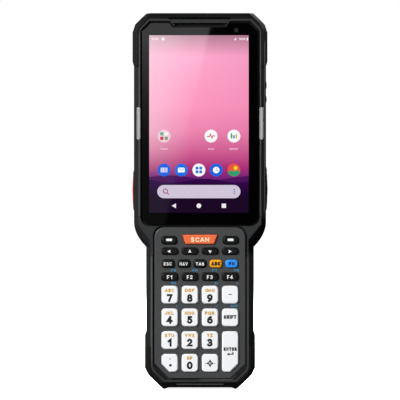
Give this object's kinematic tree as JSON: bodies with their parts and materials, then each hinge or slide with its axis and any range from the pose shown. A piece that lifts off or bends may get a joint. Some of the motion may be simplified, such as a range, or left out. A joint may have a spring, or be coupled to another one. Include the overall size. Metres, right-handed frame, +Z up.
{
  "type": "portable barcode data terminal",
  "caption": "Handheld barcode terminal with a touch display over a full keypad, side scan keys, top scan window and a removable battery.",
  "frame": {"origin": "on the surface under the feet, at the middle of the bounding box in X and Y", "axes": "+Z up the terminal's length, -Y out of the display and keypad, +X to the right seen from the front"},
  "size_m": [0.0732, 0.0318, 0.2021],
  "materials": {
    "housing": "fine matt texture, dark grey",
    "housing_back": "fine matt texture, near black",
    "bumper": "matt rubber, black",
    "bezel": "satin, mid grey",
    "cover_glass": "polished glass over black print",
    "display": "lit display",
    "trim": "satin, dark grey",
    "light_lens": "frosted clear",
    "chassis": "cast, matt",
    "circuit_board": "solder mask, green",
    "silicone": "matt, pale grey",
    "scan_glass": "polished, dark red",
    "module": "satin, black",
    "contact": "gold plated",
    "socket_steel": "plain",
    "screw": "dark plated",
    "battery": "fine matt texture, near black",
    "orange_side": "satin, orange",
    "key_black": "satin, black",
    "key_white": "satin, white",
    "key_orange": "satin, orange",
    "key_yellow": "satin, amber",
    "key_blue": "satin, blue"
  },
  "bodies": {
    "terminal": {"front_housing": "housing", "rear_housing": "housing_back", "top_bumper": "bumper", "bottom_bumper": "bumper", "keypad_bezel": "bezel", "display_glass": "cover_glass", "lcd_module": "display", "receiver_cover": "trim", "indicator_lenses": "light_lens", "mid_frame": "chassis", "main_board": "circuit_board", "keypad_board": "circuit_board", "keypad_mat": "silicone", "scan_window": "scan_glass", "scan_engine": "module", "camera_window": "cover_glass", "camera_modules": "module", "loudspeaker": "module", "battery_contacts": "contact", "usb_connector": "socket_steel", "card_socket": "socket_steel", "housing_screws": "screw"},
    "battery_pack": {"battery_pack": "battery"},
    "battery_lock": {"battery_lock": "trim"},
    "card_cover": {"card_cover": "bumper"},
    "scan_trigger": {"scan_trigger": "orange_side"},
    "side_key": {"side_key": "key_black"},
    "volume_down": {"volume_down": "key_black"},
    "volume_up": {"volume_up": "key_black"},
    "key_scan": {"key_scan": "key_orange"},
    "key_alpha": {"key_alpha": "key_yellow"},
    "key_function": {"key_function": "key_blue"},
    "key_soft_left": {"key_soft_left": "key_black"},
    "key_soft_right": {"key_soft_right": "key_black"},
    "key_left": {"key_left": "key_black"},
    "key_up": {"key_up": "key_black"},
    "key_down": {"key_down": "key_black"},
    "key_right": {"key_right": "key_black"},
    "key_escape": {"key_escape": "key_black"},
    "key_mode": {"key_mode": "key_black"},
    "key_tab": {"key_tab": "key_black"},
    "key_f1": {"key_f1": "key_black"},
    "key_f2": {"key_f2": "key_black"},
    "key_f3": {"key_f3": "key_black"},
    "key_f4": {"key_f4": "key_black"},
    "key_7": {"key_7": "key_white"},
    "key_8": {"key_8": "key_white"},
    "key_9": {"key_9": "key_white"},
    "key_minus": {"key_minus": "key_white"},
    "key_4": {"key_4": "key_white"},
    "key_5": {"key_5": "key_white"},
    "key_6": {"key_6": "key_white"},
    "key_shift": {"key_shift": "key_white"},
    "key_1": {"key_1": "key_white"},
    "key_2": {"key_2": "key_white"},
    "key_3": {"key_3": "key_white"},
    "key_enter": {"key_enter": "key_white"},
    "key_point": {"key_point": "key_white"},
    "key_0": {"key_0": "key_white"},
    "key_light": {"key_light": "key_white"}
  },
  "joints": [
    {"name": "battery_pack_slide", "type": "slide", "parent": "terminal", "child": "battery_pack", "axis": [0, 1, 0], "range_m": [0, 0.03]},
    {"name": "battery_lock_slide", "type": "slide", "parent": "terminal", "child": "battery_lock", "axis": [1, 0, 0], "range_m": [0, 0.004]},
    {"name": "card_cover_hinge", "type": "hinge", "parent": "terminal", "child": "card_cover", "pos_m": [-0.03485, 0.0005, 0.1425], "axis": [0, -1, 0], "range_deg": [0, 110]},
    {"name": "scan_trigger_press", "type": "slide", "parent": "terminal", "child": "scan_trigger", "axis": [1, 0, 0], "range_m": [0, 0.0008], "stiffness_N_per_m": 2500},
    {"name": "side_key_press", "type": "slide", "parent": "terminal", "child": "side_key", "axis": [-1, 0, 0], "range_m": [0, 0.0008], "stiffness_N_per_m": 2500},
    {"name": "volume_down_press", "type": "slide", "parent": "terminal", "child": "volume_down", "axis": [-1, 0, 0], "range_m": [0, 0.0006], "stiffness_N_per_m": 2500},
    {"name": "volume_up_press", "type": "slide", "parent": "terminal", "child": "volume_up", "axis": [-1, 0, 0], "range_m": [0, 0.0006], "stiffness_N_per_m": 2500},
    {"name": "key_scan_press", "type": "slide", "parent": "terminal", "child": "key_scan", "axis": [0, 1, 0], "range_m": [0, 0.0006], "stiffness_N_per_m": 2500},
    {"name": "key_alpha_press", "type": "slide", "parent": "terminal", "child": "key_alpha", "axis": [0, 1, 0], "range_m": [0, 0.0006], "stiffness_N_per_m": 2500},
    {"name": "key_function_press", "type": "slide", "parent": "terminal", "child": "key_function", "axis": [0, 1, 0], "range_m": [0, 0.0006], "stiffness_N_per_m": 2500},
    {"name": "key_soft_left_press", "type": "slide", "parent": "terminal", "child": "key_soft_left", "axis": [0, 1, 0], "range_m": [0, 0.0006], "stiffness_N_per_m": 2500},
    {"name": "key_soft_right_press", "type": "slide", "parent": "terminal", "child": "key_soft_right", "axis": [0, 1, 0], "range_m": [0, 0.0006], "stiffness_N_per_m": 2500},
    {"name": "key_left_press", "type": "slide", "parent": "terminal", "child": "key_left", "axis": [0, 1, 0], "range_m": [0, 0.0006], "stiffness_N_per_m": 2500},
    {"name": "key_up_press", "type": "slide", "parent": "terminal", "child": "key_up", "axis": [0, 1, 0], "range_m": [0, 0.0006], "stiffness_N_per_m": 2500},
    {"name": "key_down_press", "type": "slide", "parent": "terminal", "child": "key_down", "axis": [0, 1, 0], "range_m": [0, 0.0006], "stiffness_N_per_m": 2500},
    {"name": "key_right_press", "type": "slide", "parent": "terminal", "child": "key_right", "axis": [0, 1, 0], "range_m": [0, 0.0006], "stiffness_N_per_m": 2500},
    {"name": "key_escape_press", "type": "slide", "parent": "terminal", "child": "key_escape", "axis": [0, 1, 0], "range_m": [0, 0.0006], "stiffness_N_per_m": 2500},
    {"name": "key_mode_press", "type": "slide", "parent": "terminal", "child": "key_mode", "axis": [0, 1, 0], "range_m": [0, 0.0006], "stiffness_N_per_m": 2500},
    {"name": "key_tab_press", "type": "slide", "parent": "terminal", "child": "key_tab", "axis": [0, 1, 0], "range_m": [0, 0.0006], "stiffness_N_per_m": 2500},
    {"name": "key_f1_press", "type": "slide", "parent": "terminal", "child": "key_f1", "axis": [0, 1, 0], "range_m": [0, 0.0006], "stiffness_N_per_m": 2500},
    {"name": "key_f2_press", "type": "slide", "parent": "terminal", "child": "key_f2", "axis": [0, 1, 0], "range_m": [0, 0.0006], "stiffness_N_per_m": 2500},
    {"name": "key_f3_press", "type": "slide", "parent": "terminal", "child": "key_f3", "axis": [0, 1, 0], "range_m": [0, 0.0006], "stiffness_N_per_m": 2500},
    {"name": "key_f4_press", "type": "slide", "parent": "terminal", "child": "key_f4", "axis": [0, 1, 0], "range_m": [0, 0.0006], "stiffness_N_per_m": 2500},
    {"name": "key_7_press", "type": "slide", "parent": "terminal", "child": "key_7", "axis": [0, 1, 0], "range_m": [0, 0.0006], "stiffness_N_per_m": 2500},
    {"name": "key_8_press", "type": "slide", "parent": "terminal", "child": "key_8", "axis": [0, 1, 0], "range_m": [0, 0.0006], "stiffness_N_per_m": 2500},
    {"name": "key_9_press", "type": "slide", "parent": "terminal", "child": "key_9", "axis": [0, 1, 0], "range_m": [0, 0.0006], "stiffness_N_per_m": 2500},
    {"name": "key_minus_press", "type": "slide", "parent": "terminal", "child": "key_minus", "axis": [0, 1, 0], "range_m": [0, 0.0006], "stiffness_N_per_m": 2500},
    {"name": "key_4_press", "type": "slide", "parent": "terminal", "child": "key_4", "axis": [0, 1, 0], "range_m": [0, 0.0006], "stiffness_N_per_m": 2500},
    {"name": "key_5_press", "type": "slide", "parent": "terminal", "child": "key_5", "axis": [0, 1, 0], "range_m": [0, 0.0006], "stiffness_N_per_m": 2500},
    {"name": "key_6_press", "type": "slide", "parent": "terminal", "child": "key_6", "axis": [0, 1, 0], "range_m": [0, 0.0006], "stiffness_N_per_m": 2500},
    {"name": "key_shift_press", "type": "slide", "parent": "terminal", "child": "key_shift", "axis": [0, 1, 0], "range_m": [0, 0.0006], "stiffness_N_per_m": 2500},
    {"name": "key_1_press", "type": "slide", "parent": "terminal", "child": "key_1", "axis": [0, 1, 0], "range_m": [0, 0.0006], "stiffness_N_per_m": 2500},
    {"name": "key_2_press", "type": "slide", "parent": "terminal", "child": "key_2", "axis": [0, 1, 0], "range_m": [0, 0.0006], "stiffness_N_per_m": 2500},
    {"name": "key_3_press", "type": "slide", "parent": "terminal", "child": "key_3", "axis": [0, 1, 0], "range_m": [0, 0.0006], "stiffness_N_per_m": 2500},
    {"name": "key_enter_press", "type": "slide", "parent": "terminal", "child": "key_enter", "axis": [0, 1, 0], "range_m": [0, 0.0006], "stiffness_N_per_m": 2500},
    {"name": "key_point_press", "type": "slide", "parent": "terminal", "child": "key_point", "axis": [0, 1, 0], "range_m": [0, 0.0006], "stiffness_N_per_m": 2500},
    {"name": "key_0_press", "type": "slide", "parent": "terminal", "child": "key_0", "axis": [0, 1, 0], "range_m": [0, 0.0006], "stiffness_N_per_m": 2500},
    {"name": "key_light_press", "type": "slide", "parent": "terminal", "child": "key_light", "axis": [0, 1, 0], "range_m": [0, 0.0006], "stiffness_N_per_m": 2500}
  ]
}
